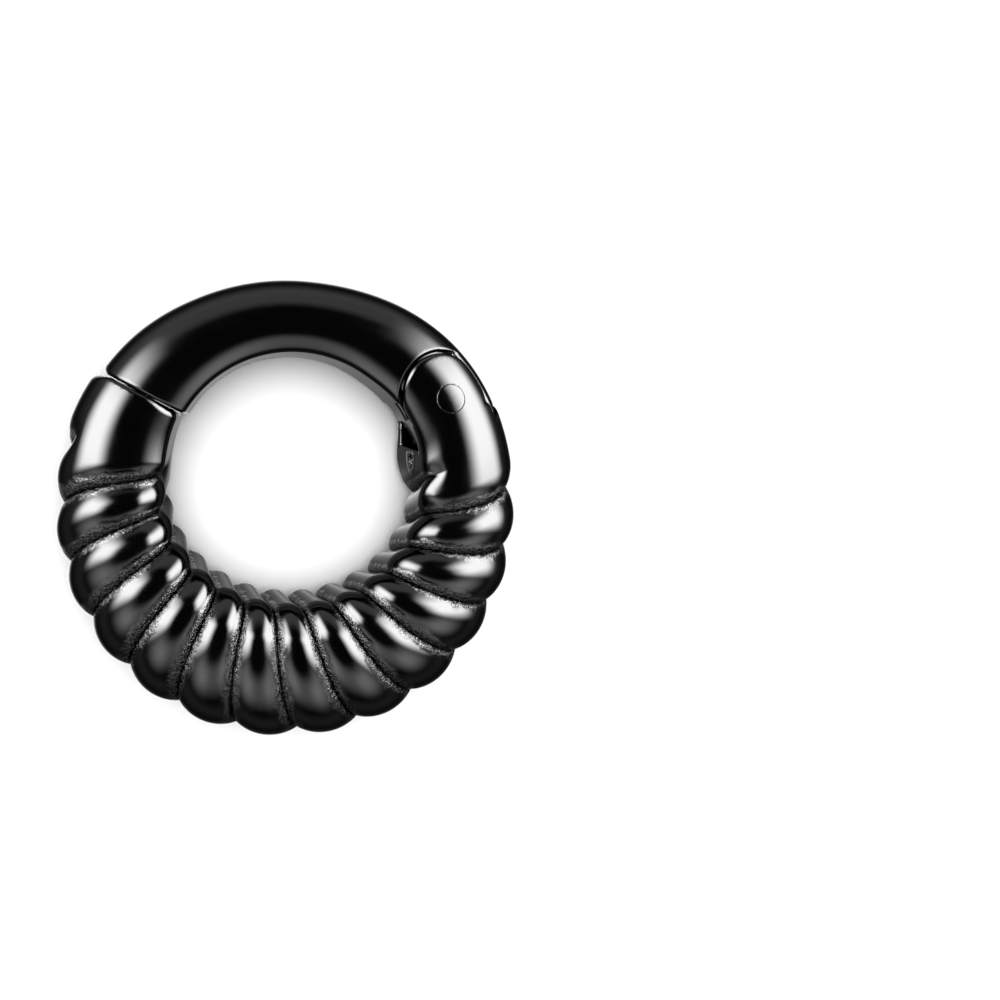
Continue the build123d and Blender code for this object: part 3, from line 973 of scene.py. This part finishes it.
def make_surroundings():
    """Soft boxes and cards that the steel reflects, dim light for the rest, and the backdrop."""
    world = bpy.data.worlds.new("studio")
    nodes = Nodes(world)
    direction = nodes.add("TexCoord").outputs["Generated"]
    upright = TO_PART.to_3x3().normalized().inverted().to_euler()
    turned = nodes.add("Mapping", {"vector_type": "POINT"}, Vector=direction, Rotation=upright)
    ahead, upward, front = nodes.add("SeparateXYZ", Vector=turned.outputs[0]).outputs
    down = nodes.math("ARCCOSINE", front)
    glow = SURROUNDING_GLOW
    for patch in PATCHES:
        glow = nodes.math("ADD", add_patch(nodes, ahead, upward, down, patch), glow)
    reflected = nodes.add("Background", Color=grey(1.0), Strength=glow)
    backdrop = nodes.add("Background", Color=BACKDROP, Strength=1.0)
    dim = nodes.add("Background", Color=DIM_LIGHT, Strength=1.0)
    path = nodes.add("LightPath").outputs
    mixed = nodes.add(
        "MixShader", Fac=path["Is Glossy Ray"], _1=dim.outputs[0], _2=reflected.outputs[0]
    )
    whole = nodes.add(
        "MixShader", Fac=path["Is Camera Ray"], _1=mixed.outputs[0], _2=backdrop.outputs[0]
    )
    nodes.add("OutputWorld", Surface=whole.outputs[0])
    bpy.context.scene.world = world


def make_studio():
    """Pale floor under a wide soft light, which only the floor takes."""
    sides = ((-1, -1), (1, -1), (1, 1), (-1, 1))
    corners = [(x * FLOOR_HALF, y * FLOOR_HALF, 0) for x, y in sides]
    ground = mesh_object("floor", corners, [(0, 1, 2, 3)])
    ground.data.materials.append(paper())
    ground.visible_glossy = False
    sky = bpy.data.lights.new("soft_light", "SUN")
    sky.angle = radians(LIGHT_ANGLE)
    sky.energy = LIGHT_ENERGY
    lamp = bpy.data.objects.new("soft_light", sky)
    lamp.rotation_euler = (radians(LIGHT_LEAN), 0, 0)
    lamp.visible_glossy = False
    bpy.context.scene.collection.objects.link(lamp)
    bpy.context.scene.view_settings.view_transform = "Standard"


# Camera: where it stands seen from the ring's middle, in mm and degrees, where the photograph has
# that middle, and how many mm one of the photograph's pixels spans there
CAMERA_DISTANCE = 63.4
CAMERA_AZIMUTH = 2.7
CAMERA_HEIGHT = 4.0
MIDDLE_X_PIXEL = 289.2
MIDDLE_Y_PIXEL = 492.8
IMAGE_SIZE = 1000
PIXEL_SIZE = 0.0659
SHIFT_X = 0.16
SENSOR_WIDTH = 36


def make_camera():
    """Looks at the ring as the photograph does, partly turned and partly shifted to frame it."""
    azimuth, height = radians(CAMERA_AZIMUTH), radians(CAMERA_HEIGHT)
    back = Vector((-sin(azimuth) * cos(height), sin(height), cos(azimuth) * cos(height)))
    focal = CAMERA_DISTANCE / PIXEL_SIZE / IMAGE_SIZE
    data = bpy.data.cameras.new("camera")
    data.sensor_width = SENSOR_WIDTH
    data.clip_start = 0.001
    data.clip_end = 10
    data.shift_x = SHIFT_X
    aside = (IMAGE_SIZE / 2 - MIDDLE_X_PIXEL) / IMAGE_SIZE - SHIFT_X
    above = (IMAGE_SIZE / 2 - MIDDLE_Y_PIXEL) / IMAGE_SIZE
    yaw, pitch = atan2(aside, focal), atan2(above, focal)
    data.lens = SENSOR_WIDTH * focal * cos(yaw)
    camera = bpy.data.objects.new("camera", data)
    bpy.context.scene.collection.objects.link(camera)
    turn = TO_PART.to_3x3().normalized()
    back = turn @ back
    right = (turn @ Vector((0, 1, 0))).cross(back).normalized()
    look = Matrix((right, back.cross(right), back)).transposed().to_4x4()
    look = look @ Matrix.Rotation(-yaw, 4, "Y") @ Matrix.Rotation(-pitch, 4, "X")
    place_at = TO_PART.translation + back * CAMERA_DISTANCE / 1000
    camera.matrix_world = Matrix.Translation(place_at) @ look
    bpy.context.scene.camera = camera


make_camera()
make_surroundings()
make_studio()
steel = black_steel()
make_body(steel)
make_gate(steel)
make_pin(steel)
# The latch tongue is kept as the plain solid that it is
latch = frame["nodes"]["latch_tongue"]
latch.data.materials.clear()
latch.data.materials.append(plain_steel())
